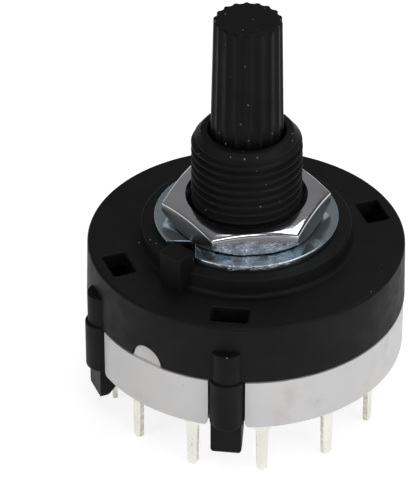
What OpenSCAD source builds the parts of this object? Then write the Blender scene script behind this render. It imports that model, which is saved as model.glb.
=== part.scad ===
// Rotary selector switch, one pole and twelve positions, for a panel or a circuit board.
// The origin is on the shaft's axis at the height of the terminal tips, with +Z along the shaft.

/* [Overall] */
// Diameter of the moulded cover at its top rim
body_d = 26; // [25.6:0.1:26.6]
// Length of the terminals below the base
terminal_drop = 5.8; // [5.6:0.1:7]
// Height of the base's visible outer band
band_h = 4.6; // [4.4:0.1:5]
// Height of the cover's outer wall
wall_h = 5.2; // [5.2:0.1:6]
// Number of switch positions, which also counts the outer terminals
positions = 12; // [12]

/* [Cover] */
// How much wider the cover is at its lower rim, on the radius
cover_draft = 0.12; // [0:0.02:0.2]
// Thickness of the cover's top plate
plate_t = 1.3; // [1.1:0.1:1.5]
// Inner radius of the cover's wall
cavity_r = 12; // [11.9:0.05:12.1]
// Rounding of the cover's top outer edge
rim_fillet = 0.25; // [0.1:0.05:0.4]
// Height of the raised platform round the bushing
platform_h = 1.6; // [1.4:0.1:2]
// Radius of the platform's top edge
platform_r = 8.6; // [8.4:0.1:8.8]
// How far the platform's side spreads towards its foot
platform_spread = 0.4; // [0.3:0.05:0.5]

/* [Bushing] */
// Diameter over the bushing's thread
bushing_d = 9; // [9]
// Length of the bushing above the platform
bushing_h = 8.85; // [8:0.05:10]
// Bore of the bushing, which the shaft turns in
bushing_bore_d = 6.6; // [6.6]
// Diameter of the hole in the bushing's mouth, which holds the shaft in
mouth_d = 6.2; // [6.1:0.02:6.3]
// Pitch of the bushing's thread
thread_pitch = 0.75; // [0.75]
// Depth of the thread, which is drawn as rings
thread_depth = 0.38; // [0.3:0.02:0.44]
// Length of the tapered lead at the bushing's mouth
lead_h = 1; // [0.8:0.05:1.3]
// Radius of the bushing's end face
lead_r = 3.7; // [3.6:0.05:3.9]

/* [Locating lug] */
// Angle of the lug, counted from the first axis
lug_angle = 268; // [266:1:272]
// Width of the lug along the rim
lug_w = 2.2; // [1.8:0.1:2.4]
// Inner and outer reach of the lug from the axis
lug_reach = [7.75, 9.6];
// Height of the lug above the cover's top
lug_h = 3.1; // [2.6:0.1:3.5]

/* [Snap legs] */
// Angles of the four snap legs
leg_angles = [57.5, 122.5, 239.5, 301];
// Radius of the half-round column beside the cover's wall
column_r = 1.28; // [1.2:0.02:1.36]
// Height of that column above the cover's lower rim
column_h = 2.85; // [2.5:0.05:3.2]
// Radius of the leg's half-round stretch beside the base
leg_r = 1.4; // [1.35:0.05:1.5]
// How far the snap legs end above the terminal tips
leg_tip_z = 3.4; // [3.4:0.1:4]
// Width of the flat barbed tip
tip_w = 2.5; // [2.3:0.1:2.6]
// How far the barb hooks under the base
barb_reach = 0.75; // [0.5:0.05:0.9]
// Width of the windows in the top plate, over each barb
window_w = 3; // [2.6:0.1:3.2]
// Radial depth of those windows
window_depth = 1.9; // [1.6:0.1:1.95]

/* [Shaft] */
// Length of the shaft beyond the bushing
shaft_out = 10.15; // [8:0.05:25]
// Number of teeth on the serrated shaft
teeth = 18; // [18]
// Crest radius of the teeth at the bushing's mouth
crest_foot_r = 2.98; // [2.95:0.01:3.02]
// Crest radius of the teeth at the shaft's end
crest_tip_r = 2.74; // [2.7:0.01:2.95]
// Radius of the round groove between two teeth
groove_r = 0.55; // [0.45:0.01:0.6]
// Depth of that groove
groove_depth = 0.18; // [0.12:0.01:0.2]
// Angle of the first groove, counted from the first axis
groove_angle = 0; // [0:1:19]

/* [Nut and washer] */
// Width of the nut across its flats
nut_af = 12; // [12]
// Thickness of the nut
nut_t = 2; // [1.8:0.1:2.4]
// Radius of the nut's upper face, where its chamfer begins
nut_face_r = 5.82; // [5.7:0.01:6.2]
// Slope of that chamfer
nut_slope = 30; // [25:1:35]
// Radius of the nut's lower face
nut_seat_r = 6; // [5.8:0.01:6.2]
// Slope of the chamfer below
nut_seat_slope = 40; // [30:1:42]
// Angle of one corner of the nut
nut_angle = 44.5; // [0:0.5:60]
// Outer radius of the washer
washer_r = 7.5; // [7.4:0.05:7.7]
// Thickness of the washer
washer_t = 0.6; // [0.5:0.05:0.8]
// Angle of the notch in the washer's edge
notch_angle = 262; // [255:1:265]
// Distance of the notch's point from the axis
notch_point_r = 5.7; // [5.4:0.1:6.2]

/* [Detent] */
// Radius of the two steel balls
ball_r = 1; // [1]
// Radius of the ridges between the detent's hollows
ridge_r = 8.95; // [8.9:0.01:9]
// Depth of the detent's hollows
hollow_depth = 0.45; // [0.4:0.01:0.5]
// Angle of the hollow that one ball sits in, counted from the first axis
ball_angle = 15; // [15]
// Outer diameter of the coil spring
spring_d = 1.7; // [1.6:0.05:1.8]
// Diameter of the spring's wire
wire_d = 0.26; // [0.2:0.02:0.3]
// Number of open turns of the spring
spring_turns = 13; // [10:1:16]

/* [Terminals] */
// Distance of the outer terminals' middle from the axis
terminal_r = 11; // [11]
// Thickness of the terminals' strip
strip_t = 0.4; // [0.35:0.05:0.4]
// Width of the terminals below their shoulder
blade_w = 1; // [0.8:0.1:1.1]
// Width that the terminals taper to at their round tips
blade_tip_w = 0.84; // [0.7:0.02:1]
// Width of the terminals at their shoulder
shoulder_w = 1.45; // [1.3:0.05:1.5]
// Height of the shoulder above the tips
shoulder_z = 4.3; // [4:0.1:5.5]
// Angle of the first outer terminal
first_terminal = 15; // [15]
// Angle of the terminal that the wiper touches at rest
start_terminal = 105; // [105]

/* [Hidden] */
$fn = 96;
step = 360 / positions;
overcut = 0.5;

// Heights of the joints between the pieces
base_z = terminal_drop;
seam_z = base_z + band_h;
top_z = seam_z + wall_h;
platform_z = top_z + platform_h;
bushing_z = platform_z + bushing_h;
shaft_z = bushing_z + shaft_out;
washer_z = platform_z + washer_t;
ceiling_z = top_z - plate_t;
seam_gap = 0.05;
rim_z = seam_z + seam_gap;
body_r = body_d / 2;
rim_r = body_r + cover_draft;
column_at = body_r - 0.5;
leg_at = body_r - 0.4;
bushing_r = bushing_d / 2;
bore_r = bushing_bore_d / 2;
mouth_r = mouth_d / 2;
thread_z = platform_z + 0.3;
thread_turns = floor((bushing_z - lead_h - thread_z) / thread_pitch);
thread_flank = 0.3;

// Base
band_r = body_r + 0.05;
floor_z = seam_z - 0.4;
spigot_r = [cavity_r - 0.7, cavity_r - 0.1];
spigot_h = 1.2;
spigot_gap_half = 21;
recess_r = 9.3;
recess_depth = 0.5;
key_r = 1.45;
key_gap = 0.05;
key_angle = 270;
slot_side_gap = 0.1;
slot_corner_r = 0.6;
pivot_r = 1.5;
pivot_end_z = base_z + 1.7;
running_gap = 0.04;

// Rotor
rotor_r = 8.7;
rotor_play = 0.1;
rotor_z = [floor_z + 1, ceiling_z - rotor_play];
ball_z = (rotor_z[0] + rotor_z[1]) / 2;
ball_bore_r = ball_r + 0.05;
journal_r = bore_r - running_gap;
journal_z = bushing_z - 1.7;
neck_h = 0.3;
mouth_z = journal_z + neck_h;
pocket_depth = 2.2;
pocket_r = [5.2, 7.6];
pocket_span = 52;

// Detent: at rest each ball is drawn in, just clear of the ridges
ball_clearance = 0.03;
ball_at = ridge_r - ball_clearance - ball_r;
hollow_r = 2.2;
detent_ring_r = 10;
detent_ring_z = floor_z + 1;

// Stop: a tab on a ring under the washer blocks a rib on the rotor
stop_recess_r = [bushing_r + 0.1, 6.7];
stop_recess_depth = 0.5;
stop_ring_r = [bushing_r + 0.2, 5.95];
stop_ring_t = 0.4;
stop_tab_w = 1.2;
stop_tab_angle = 90;
stop_tab_end_z = ceiling_z + 0.2;
stop_slot_gap = 0.05;
stop_well_r = [4.9, 7.3];
stop_well_h = 1.1;
stop_rib_r = [5.2, 7.1];
stop_rib_h = 1.05;
stop_play = 0.4;
stop_rib_half = step / 2 - asin(stop_tab_w / 2 / stop_ring_r[1]) - stop_play;
stop_rib_angle = stop_tab_angle - step / 2;

// Contacts
pad_w = 2.2;
pad_end_r = 8.1;
pad_rise = 0.25;
pad_gap = 0.03;
common_r = [3.4, 5];
common_blade_r = 4.2;
common_angle = 0;
wiper_t = 0.25;
wiper_lift = 0.03;
wiper_w = 4.4;
wiper_hole_r = 1.6;
wiper_outer_r = 8.2;
wiper_inner_r = 4.2;
peg_r = 0.4;
peg_at = [3.3, 1.05];

// Spring, a closed turn at each end
spring_seat = sqrt(pow(ball_r + wire_d / 2, 2) - pow((spring_d - wire_d) / 2, 2)) + 0.02;
spring_half = ball_at - spring_seat;
ring_sides = 6;
ring_steps = 14;

black = "#1b1b1c";
pale = "#c9c8c5";
steel = "#9a9ba0";
zinc = "#8fa3ab";
tin = "#c4c4c0";
bronze = "#a8743c";

function outer_names(i = 1) =
    i > positions ? [] : concat([outer_name(i)], outer_names(i + 1));
function outer_name(i) = str("terminal_", i < 10 ? "0" : "", i);

// Points on an arc, for the round stretches of an outline
function arc(centre, r, from, to, n = 6) =
    [for (i = [0 : n]) let (a = from + (to - from) * i / n) centre + r * [cos(a), sin(a)]];

// Ring between two radii, from height z over height h
module ring(r, z, h) {
    translate([0, 0, z])
        linear_extrude(h)
            difference() {
                circle(r[1]);
                circle(r[0]);
            }
}

// Wedge of a ring, half degrees to each side of the angle
module ring_wedge(r, z, h, angle, half) {
    far = r[1] / cos(half) + 1;
    intersection() {
        ring(r, z, h);
        rotate(angle)
            translate([0, 0, z])
                linear_extrude(h)
                    polygon([[0, 0], far * [cos(half), -sin(half)], far * [cos(half), sin(half)]]);
    }
}

// Upright outline in the plane of the axis and an angle, given a width along the rim
module radial_slab(angle, w) {
    rotate(angle)
        translate([0, w / 2, 0])
            rotate([90, 0, 0])
                linear_extrude(w)
                    children();
}

// Outline of the bushing's thread, a V groove for each turn
thread_points = [
    for (i = [0 : thread_turns - 1]) let (z = thread_z + i * thread_pitch)
        each [[bushing_r, z], [bushing_r - thread_depth, z + thread_flank],
              [bushing_r, z + 2 * thread_flank]]
];

// Half section of the cover, with its wall, top plate, platform and threaded bushing
module cover_section() {
    foot_r = platform_r + platform_spread;
    polygon(concat(
        [[cavity_r, rim_z], [rim_r, rim_z]],
        arc([body_r - rim_fillet, top_z - rim_fillet], rim_fillet, 0, 90, 4),
        arc([foot_r, top_z + platform_spread], platform_spread, 270, 180, 4),
        arc([platform_r - 0.15, platform_z - 0.15], 0.15, 0, 90, 3),
        [[stop_recess_r[1], platform_z], [stop_recess_r[1], platform_z - stop_recess_depth],
         [stop_recess_r[0], platform_z - stop_recess_depth], [stop_recess_r[0], platform_z],
         [bushing_r, platform_z]],
        thread_points,
        [[bushing_r, bushing_z - lead_h],
         [lead_r, bushing_z], [mouth_r + 0.1, bushing_z], [mouth_r, bushing_z - 0.1],
         [mouth_r, mouth_z], [bore_r, mouth_z],
         [bore_r, ceiling_z], [stop_well_r[0], ceiling_z],
         [stop_well_r[0], ceiling_z + stop_well_h], [stop_well_r[1], ceiling_z + stop_well_h],
         [stop_well_r[1], ceiling_z], [cavity_r, ceiling_z]]
    ));
}

// Hanging ring with a hollow for each position, which the balls click into
module detent_ring() {
    translate([0, 0, detent_ring_z])
        linear_extrude(ceiling_z - detent_ring_z + 0.01)
            difference() {
                circle(detent_ring_r);
                circle(ridge_r);
                for (i = [0 : positions - 1])
                    rotate(ball_angle + i * step)
                        translate([ridge_r + hollow_depth - hollow_r, 0])
                            circle(hollow_r);
            }
}

// Square post with its top edges eased
module locating_lug() {
    ease = 0.15;
    length = lug_reach[1] - lug_reach[0];
    top = top_z + lug_h;
    intersection() {
        radial_slab(lug_angle, lug_w)
            polygon([
                [lug_reach[0], top_z - 0.2], [lug_reach[1], top_z - 0.2],
                [lug_reach[1], top - ease], [lug_reach[1] - ease, top],
                [lug_reach[0] + ease, top], [lug_reach[0], top - ease]
            ]);
        rotate(lug_angle)
            translate([lug_reach[0] - overcut, 0, 0])
                rotate([90, 0, 90])
                    linear_extrude(length + 2 * overcut)
                        polygon([
                            [-lug_w / 2, 0], [lug_w / 2, 0],
                            [lug_w / 2, top - ease], [lug_w / 2 - ease, top],
                            [-lug_w / 2 + ease, top], [-lug_w / 2, top - ease]
                        ]);
    }
}

// Half-round column beside the wall, over a leg
module wall_column(angle) {
    sunk = 0.3;
    difference() {
        rotate(angle)
            translate([column_at, 0, rim_z - sunk])
                cylinder(r = column_r, h = column_h + sunk);
        translate([0, 0, rim_z - 1])
            cylinder(r = cavity_r + 0.4, h = column_h + 2);
    }
}

// Snap leg: a half-round stretch beside the base, then a flat tip with its barb
module snap_leg(angle) {
    inner = cavity_r + 0.05;
    column_end = leg_tip_z + 2.7;
    height = rim_z + 0.06 - column_end;
    ease = 0.25;
    outer = leg_at + leg_r - 0.7;
    barb = inner - barb_reach;
    rotate(angle)
        intersection() {
            translate([leg_at, 0, column_end]) {
                cylinder(r1 = leg_r - ease, r2 = leg_r, h = ease);
                translate([0, 0, ease])
                    cylinder(r = leg_r, h = height - ease);
                translate([-leg_r, -leg_r, 0])
                    cube([leg_r, 2 * leg_r, height]);
            }
            translate([inner, -leg_r, 0])
                cube([4, 2 * leg_r, rim_z + 1]);
        }
    radial_slab(angle, tip_w)
        polygon(concat(
            [[outer, column_end + 0.7]],
            arc([outer - 0.2, leg_tip_z + 0.2], 0.2, 0, -90, 3),
            [[outer - 0.5, leg_tip_z], [barb, leg_tip_z + 1.7],
             [barb, base_z - seam_gap], [inner, base_z - seam_gap], [inner, column_end + 0.7]]
        ));
}

module cover() {
    color(black)
    difference() {
        union() {
            rotate_extrude()
                cover_section();
            detent_ring();
            locating_lug();
            for (a = leg_angles) {
                wall_column(a);
                snap_leg(a);
            }
        }
        // windows over the barbs
        for (a = leg_angles)
            rotate(a)
                translate([cavity_r - window_depth, -window_w / 2, ceiling_z - overcut])
                    cube([window_depth, window_w, plate_t + 2 * overcut]);
        // slots for the stop ring's tab
        for (i = [0 : positions - 1])
            rotate(i * step)
                translate([stop_ring_r[1] - stop_slot_gap, -stop_tab_w / 2 - stop_slot_gap, ceiling_z])
                    cube([stop_ring_t + 2 * stop_slot_gap, stop_tab_w + 2 * stop_slot_gap,
                          platform_h + plate_t]);
        // notch in the lower rim for the base's key
        rotate(key_angle)
            translate([cavity_r - overcut, 0, seam_z])
                rotate([0, 90, 0])
                    cylinder(r = key_r + key_gap, h = 3);
    }
}

// Half section of the base: its band, ledge, spigot, floor and pivot hole
module base_section() {
    hole_r = pivot_r + running_gap;
    polygon(concat(
        [[0, base_z + recess_depth], [recess_r - 0.3, base_z + recess_depth], [recess_r, base_z]],
        arc([band_r - 0.2, base_z + 0.2], 0.2, 270, 360, 3),
        [[band_r, seam_z], [spigot_r[1], seam_z],
         [spigot_r[1], seam_z + spigot_h - 0.2], [spigot_r[1] - 0.2, seam_z + spigot_h],
         [spigot_r[0], seam_z + spigot_h], [spigot_r[0], floor_z],
         [hole_r, floor_z], [hole_r, pivot_end_z - 0.1], [0, pivot_end_z - 0.1]]
    ));
}

// Way for a snap leg through the band, its lower corners rounded
module leg_slot(angle) {
    half = leg_r + slot_side_gap;
    flare = half + slot_corner_r;
    rotate(angle)
        translate([cavity_r, 0, 0])
            rotate([90, 0, 90])
                linear_extrude(3)
                    difference() {
                        union() {
                            translate([-half, 0])
                                square([2 * half, seam_z + spigot_h + 1]);
                            translate([-flare, 0])
                                square([2 * flare, base_z + slot_corner_r]);
                        }
                        for (side = [-1, 1])
                            translate([side * flare, base_z + slot_corner_r])
                                circle(slot_corner_r);
                    }
    // gap in the spigot, over the same leg
    ring_wedge([spigot_r[0] - 1, spigot_r[1] + 0.05], seam_z, spigot_h + 1, angle, spigot_gap_half);
}

// Room for one terminal: its pad's seat in the floor and the slot for its blade
module terminal_seat(angle, inner_r, r) {
    seat_w = pad_w + 2 * pad_gap;
    rotate(angle) {
        translate([inner_r, 0, floor_z + pad_rise - strip_t])
            cylinder(r = seat_w / 2, h = 2);
        translate([inner_r, -seat_w / 2, floor_z + pad_rise - strip_t])
            cube([r + strip_t / 2 + pad_gap - inner_r, seat_w, strip_t]);
        translate([r - strip_t / 2 - pad_gap, -shoulder_w / 2 - pad_gap, 0])
            cube([strip_t + 2 * pad_gap, shoulder_w + 2 * pad_gap, floor_z]);
    }
}

module base() {
    color(pale)
    difference() {
        union() {
            rotate_extrude()
                base_section();
            // half-round key that turns the cover the right way
            intersection() {
                rotate(key_angle)
                    translate([cavity_r - 0.3, 0, seam_z])
                        rotate([0, 90, 0])
                            cylinder(r = key_r, h = 2);
                ring([spigot_r[0], band_r - 0.08], seam_z - 1, key_r + 2);
            }
        }
        for (a = leg_angles)
            leg_slot(a);
        for (i = [0 : positions - 1])
            terminal_seat(first_terminal + i * step, pad_end_r, terminal_r);
        ring([common_r[0] - pad_gap, common_r[1] + pad_gap], floor_z + pad_rise - strip_t, 1);
        rotate(common_angle)
            translate([common_blade_r - strip_t / 2 - pad_gap, -shoulder_w / 2 - pad_gap, 0])
                cube([strip_t + 2 * pad_gap, shoulder_w + 2 * pad_gap, floor_z]);
    }
}

// Kidney-shaped relief in the rotor's underside, to each side of the ball bore
module rotor_pocket(angle) {
    ring_wedge(pocket_r, rotor_z[0] - 1, pocket_depth + 1, angle, pocket_span);
}

// Serrated end of the shaft: a tapered round with a groove between each two teeth
module serrated_end() {
    length = shaft_z - journal_z - neck_h;
    lean = atan((crest_foot_r - crest_tip_r) / length);
    ease = 0.15;
    translate([0, 0, journal_z + neck_h])
        difference() {
            union() {
                cylinder(r1 = crest_foot_r, r2 = crest_tip_r, h = length - ease);
                translate([0, 0, length - ease])
                    cylinder(r1 = crest_tip_r, r2 = crest_tip_r - ease, h = ease);
            }
            for (i = [0 : teeth - 1])
                rotate(groove_angle + i * 360 / teeth)
                    translate([crest_foot_r + groove_r - groove_depth, 0, 0])
                        rotate([0, -lean, 0])
                            translate([0, 0, -overcut])
                                cylinder(r = groove_r, h = length + 2 * overcut, $fn = 24);
        }
}

// Shaft and rotor, moulded in one
module rotor_shaft() {
    color(black)
    difference() {
        union() {
            rotate_extrude()
                polygon([
                    [0, pivot_end_z], [pivot_r - 0.2, pivot_end_z], [pivot_r, pivot_end_z + 0.2],
                    [pivot_r, rotor_z[0]], [rotor_r, rotor_z[0]], [rotor_r, rotor_z[1]],
                    [journal_r, rotor_z[1]], [journal_r, journal_z],
                    [crest_foot_r, journal_z + neck_h], [0, journal_z + neck_h]
                ]);
            serrated_end();
            ring_wedge(stop_rib_r, rotor_z[1] - 0.1, stop_rib_h + 0.1, stop_rib_angle, stop_rib_half);
            for (side = [-1, 1])
                rotate(start_terminal)
                    translate([peg_at[0], side * peg_at[1], rotor_z[0] - wiper_t - 0.1])
                        cylinder(r = peg_r, h = wiper_t + 0.2, $fn = 32);
        }
        // bore for the spring and the balls
        rotate(ball_angle)
            translate([-rotor_r - 1, 0, ball_z])
                rotate([0, 90, 0])
                    cylinder(r = ball_bore_r, h = 2 * rotor_r + 2, $fn = 48);
        // reliefs in the underside, to each side of that bore
        for (side = [-1, 1])
            rotor_pocket(ball_angle + side * 90);
    }
}

module hex_nut() {
    corner_r = nut_af / 2 / cos(30);
    reach = corner_r + 0.1;
    low = (reach - nut_seat_r) * tan(nut_seat_slope);
    high = nut_t - (reach - nut_face_r) * tan(nut_slope);
    bore = bushing_r + 0.03;
    color(steel)
    translate([0, 0, washer_z])
        difference() {
            intersection() {
                rotate(nut_angle)
                    cylinder(r = corner_r, h = nut_t, $fn = 6);
                rotate_extrude()
                    polygon([
                        [0, 0], [nut_seat_r, 0], [reach, low],
                        [reach, high], [nut_face_r, nut_t], [0, nut_t]
                    ]);
            }
            rotate_extrude()
                polygon([
                    [0, -1], [bore + 0.4, -1], [bore + 0.4, 0], [bore, 0.4],
                    [bore, nut_t - 0.45], [bore + 0.45, nut_t], [bore + 0.45, nut_t + 1],
                    [0, nut_t + 1]
                ]);
        }
}

// Plain washer, with a right-angled notch in its edge
module washer() {
    root_r = 0.5;
    reach = washer_r - notch_point_r + 1;
    color(zinc)
    translate([0, 0, platform_z])
        linear_extrude(washer_t)
            difference() {
                circle(washer_r);
                circle(bushing_r + 0.1);
                rotate(notch_angle)
                    translate([notch_point_r, 0])
                        polygon(concat(
                            arc([root_r * sqrt(2), 0], root_r, 225, 135, 4),
                            [[reach, reach], [reach, -reach]]
                        ));
            }
}

// Stop ring, lying in the platform's recess with one tab bent down into the housing
module stop_ring() {
    z = platform_z - stop_recess_depth;
    tab_x = [stop_ring_r[1] - 0.1, stop_ring_r[1] + stop_ring_t];
    color(zinc)
    union() {
        ring(stop_ring_r, z, stop_ring_t);
        rotate(stop_tab_angle)
            translate([tab_x[0], -stop_tab_w / 2, z])
                cube([tab_x[1] - tab_x[0], stop_tab_w, stop_ring_t]);
        rotate(stop_tab_angle)
            translate([stop_ring_r[1], -stop_tab_w / 2, stop_tab_end_z])
                cube([stop_ring_t, stop_tab_w, z + stop_ring_t - stop_tab_end_z]);
    }
}

// Axis position and turn of the spring's wire: a closed turn at each end, open turns between
function spring_run(t) =
    let (all = spring_turns + 2, k = t * all)
    k < 1 ? -spring_half + wire_d * k
    : k > all - 1 ? spring_half - wire_d * (all - k)
    : -spring_half + wire_d + (2 * spring_half - 2 * wire_d) * (k - 1) / spring_turns;

// Coil spring between the two balls
module detent_spring() {
    coil_r = (spring_d - wire_d) / 2;
    n = (spring_turns + 2) * ring_steps;
    points = [
        for (i = [0 : n]) let (turn = 360 * i / ring_steps, x = spring_run(i / n))
            for (j = [0 : ring_sides - 1]) let (a = 360 * j / ring_sides, r = coil_r + wire_d / 2 * cos(a))
                [x + wire_d / 2 * sin(a), r * cos(turn), r * sin(turn)]
    ];
    sides = [
        for (i = [0 : n - 1])
            for (j = [0 : ring_sides - 1]) let (k = (j + 1) % ring_sides, at = i * ring_sides)
                [at + j, at + k, at + ring_sides + k, at + ring_sides + j]
    ];
    ends = [
        [for (j = [ring_sides - 1 : -1 : 0]) j],
        [for (j = [0 : ring_sides - 1]) n * ring_sides + j]
    ];
    color(steel)
    translate([0, 0, ball_z])
        rotate(ball_angle)
            polyhedron(points, concat(sides, ends), convexity = 10);
}

module detent_ball(side) {
    color(steel)
    rotate(ball_angle)
        translate([side * ball_at, 0, ball_z])
            sphere(ball_r, $fn = 48);
}

// Flat outline of a blade, from its top down to a rounded tip at height 0
module blade_outline(top) {
    polygon(concat(
        [[-shoulder_w / 2, top], [-shoulder_w / 2, shoulder_z], [-blade_w / 2, shoulder_z - 0.15]],
        arc([0, blade_tip_w / 2], blade_tip_w / 2, 180, 360, 8),
        [[blade_w / 2, shoulder_z - 0.15], [shoulder_w / 2, shoulder_z], [shoulder_w / 2, top]]
    ));
}

// Blade standing at radius r, its broad face to the rim
module blade(angle, r, top) {
    rotate(angle)
        translate([r - strip_t / 2, 0, 0])
            rotate([90, 0, 90])
                linear_extrude(strip_t)
                    blade_outline(top);
}

// Outer terminal: a contact pad on the floor and a blade bent down through the base
module outer_terminal(i) {
    z = floor_z + pad_rise;
    angle = start_terminal - (i - 1) * step;
    color(tin)
    union() {
        blade(angle, terminal_r, z);
        rotate(angle)
            translate([0, 0, z - strip_t])
                linear_extrude(strip_t)
                    union() {
                        translate([pad_end_r, 0])
                            circle(pad_w / 2, $fn = 32);
                        translate([pad_end_r, -pad_w / 2])
                            square([terminal_r + strip_t / 2 - pad_end_r, pad_w]);
                    }
    }
}

// Common terminal: a contact ring round the pivot, with its own blade
module common_terminal() {
    z = floor_z + pad_rise;
    color(tin)
    union() {
        ring(common_r, z - strip_t, strip_t);
        blade(common_angle, common_blade_r, z);
    }
}

// Side view of a sprung arm, from the plate's edge out to its contact point and upturned end
module wiper_arm(from, to) {
    dir = sign(to - from);
    top = rotor_z[0];
    contact = floor_z + pad_rise + wiper_lift;
    polygon([
        [from - dir * 0.2, top - wiper_t], [from, top - wiper_t], [to, contact],
        [to + dir * 0.6, contact + 0.2], [to + dir * 0.6, contact + 0.2 + wiper_t],
        [to, contact + wiper_t], [from, top], [from - dir * 0.2, top]
    ]);
}

// Wiper, pegged to the rotor's underside, bridging the common ring and one pad
module wiper() {
    plate_x = [-2.2, 6];
    z = rotor_z[0] - wiper_t;
    color(bronze)
    rotate(start_terminal)
        difference() {
            union() {
                translate([plate_x[0], -wiper_w / 2, z])
                    cube([plate_x[1] - plate_x[0], wiper_w, wiper_t]);
                radial_slab(0, 1.2)
                    wiper_arm(plate_x[1], wiper_outer_r);
                radial_slab(0, 1.6)
                    wiper_arm(plate_x[0], -wiper_inner_r);
            }
            translate([0, 0, z - 1])
                cylinder(r = wiper_hole_r, h = 3);
            for (side = [-1, 1])
                translate([peg_at[0], side * peg_at[1], z - 1])
                    cylinder(r = peg_r + 0.02, h = 3, $fn = 32);
        }
}

cover();
base();
rotor_shaft();
hex_nut();
washer();
stop_ring();
detent_spring();
detent_ball(1);  // detent_ball_a
detent_ball(-1);  // detent_ball_b
wiper();
common_terminal();
for (i = [1 : positions])
    outer_terminal(i);
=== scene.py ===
"""Looks of the rotary selector switch: moulded plastic, plated nut and washer, tinned terminals."""

import math

import bmesh
import bpy
from mathutils import Matrix, Vector


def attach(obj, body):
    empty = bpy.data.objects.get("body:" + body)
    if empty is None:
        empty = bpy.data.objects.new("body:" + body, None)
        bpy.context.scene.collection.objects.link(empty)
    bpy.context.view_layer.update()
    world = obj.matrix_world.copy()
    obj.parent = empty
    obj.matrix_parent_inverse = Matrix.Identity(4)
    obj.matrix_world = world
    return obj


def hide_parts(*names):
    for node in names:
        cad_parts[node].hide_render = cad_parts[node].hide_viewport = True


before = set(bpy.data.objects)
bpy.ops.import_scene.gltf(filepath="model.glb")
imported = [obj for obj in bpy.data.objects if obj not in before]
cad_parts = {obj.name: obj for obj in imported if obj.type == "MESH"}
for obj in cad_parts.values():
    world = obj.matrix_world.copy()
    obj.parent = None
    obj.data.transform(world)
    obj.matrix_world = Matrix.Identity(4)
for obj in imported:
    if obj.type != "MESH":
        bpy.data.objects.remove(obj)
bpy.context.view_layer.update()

# Lengths below are in millimetres, as on a drawing of the switch, and meshes are scaled to metres.
MM = 0.001

# Heights above the terminal tips
LEG_TIP_Z = 3.4
BASE_Z = 5.8
COLUMN_END_Z = 6.1
FLOOR_Z = 10.0
SEAM_Z = 10.4
RIM_Z = 10.45
LEG_TOP_Z = 10.51
COLUMN_TOP_Z = 13.3
CEILING_Z = 14.3
TOP_Z = 15.6
PLATFORM_Z = 17.2
WASHER_TOP_Z = 17.8
BUSHING_Z = 26.05
SHAFT_Z = 36.2

# Cover
BODY_R = 13.0
RIM_R = 13.112
RIM_EASE = 0.08
CAVITY_R = 12.0
TOP_EASE = 0.25
PLATFORM_R = 8.6
PLATFORM_FOOT_R = 9.0
PLATFORM_FILLET = 0.4
PLATFORM_EASE = 0.15
LUG_ANGLE = 268
LUG_REACH = (7.75, 9.6)
LUG_W = 2.2
LUG_Z = 18.7
LUG_ROOT_Z = 15.0
LUG_EASE = 0.22
LEG_ANGLES = (57.5, 122.5, 239.5, 301)
COLUMN_R = 1.28
COLUMN_AT = 12.5
COLUMN_EASE = 0.28
COLUMN_OVERLAP = 0.3
LEG_R = 1.4
LEG_AT = 12.6
LEG_INNER = 12.05
LEG_EASE = 0.14
LEG_OVERLAP = 0.7
TIP_W = 2.5
TIP_OUTER = 13.3
TIP_CORNER = 0.5
TIP_EASE = 0.2
TIP_RISE = 1.7
TIP_LAND = 0.5
BARB_R = 11.3
WINDOW = (10.1, 12.0)
WINDOW_W = 3.0
WINDOW_EASE = 0.16
WINDOW_CORNER = 0.2
KEY_ANGLE = 270
KEY_R = 1.45
KEY_ROOT_R = 11.72
KEY_FACE_R = 12.8
KEY_GAP = 0.05

# Bushing and its thread
BUSHING_R = 4.5
BORE_R = 3.3
MOUTH_R = 3.1
MOUTH_Z = 24.65
MOUTH_EASE = 0.2
LEAD_Z = 25.05
LEAD_R = 3.7
LEAD_EASE = 0.06
THREAD_PITCH = 0.75
THREAD_DEPTH = 0.38
# Shares of half a pitch that are crest and flank, and how much of the flank is smoothed
THREAD_CREST = 0.16
THREAD_FLANK = 0.66
THREAD_SOFT = 0.25

# Shaft
TEETH = 18
CREST_FOOT_R = 2.98
CREST_TIP_R = 2.74
GROOVE_R = 0.55
GROOVE_DEPTH = 0.18
JOURNAL_R = 3.26
JOURNAL_Z = 24.35
JOURNAL_EASE = 0.05
NECK_Z = 24.65
SHAFT_EASE = 0.16
SHAFT_CAP_R = 2.14
GROOVE_SOFT = 0.05
PIVOT_R = (1.3, 1.5)
PIVOT_Z = (7.5, 7.7)
ROTOR_R = 8.7
ROTOR_Z = (11.0, 14.2)
BALL_ANGLE = 15
BALL_Z = 12.6
BALL_BORE_R = 1.05
POCKET_R = (5.2, 7.6)
POCKET_TOP_Z = 13.2
POCKET_HALF = 52
RIB_R = (5.2, 7.1)
RIB_TOP_Z = 15.25
RIB_ANGLE = 75
RIB_HALF = 8.8
PEG_R = 0.4
PEG_AT = (3.3, 1.05)
PEG_LOW_Z = 10.65
WIPER_ANGLE = 105

# Base
BAND_R = 13.05
BAND_EASE = 0.22
BAND_LIP = 0.04
SEAM_REBATE = 0.12
SEAM_REBATE_R = 12.7
SPIGOT_R = (11.3, 11.9)
SPIGOT_H = 1.2
SPIGOT_LEAD = 0.2
SPIGOT_GAP_R = (11.0, 11.95)
SPIGOT_GAP_HALF = 21
UNDERSIDE_R = (9.0, 9.3)
UNDERSIDE_DEPTH = 0.5
PIVOT_HOLE_R = 1.54
PIVOT_HOLE_Z = 7.4
WAY_CORNER = 0.6
WAY_GAP = 0.1

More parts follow.
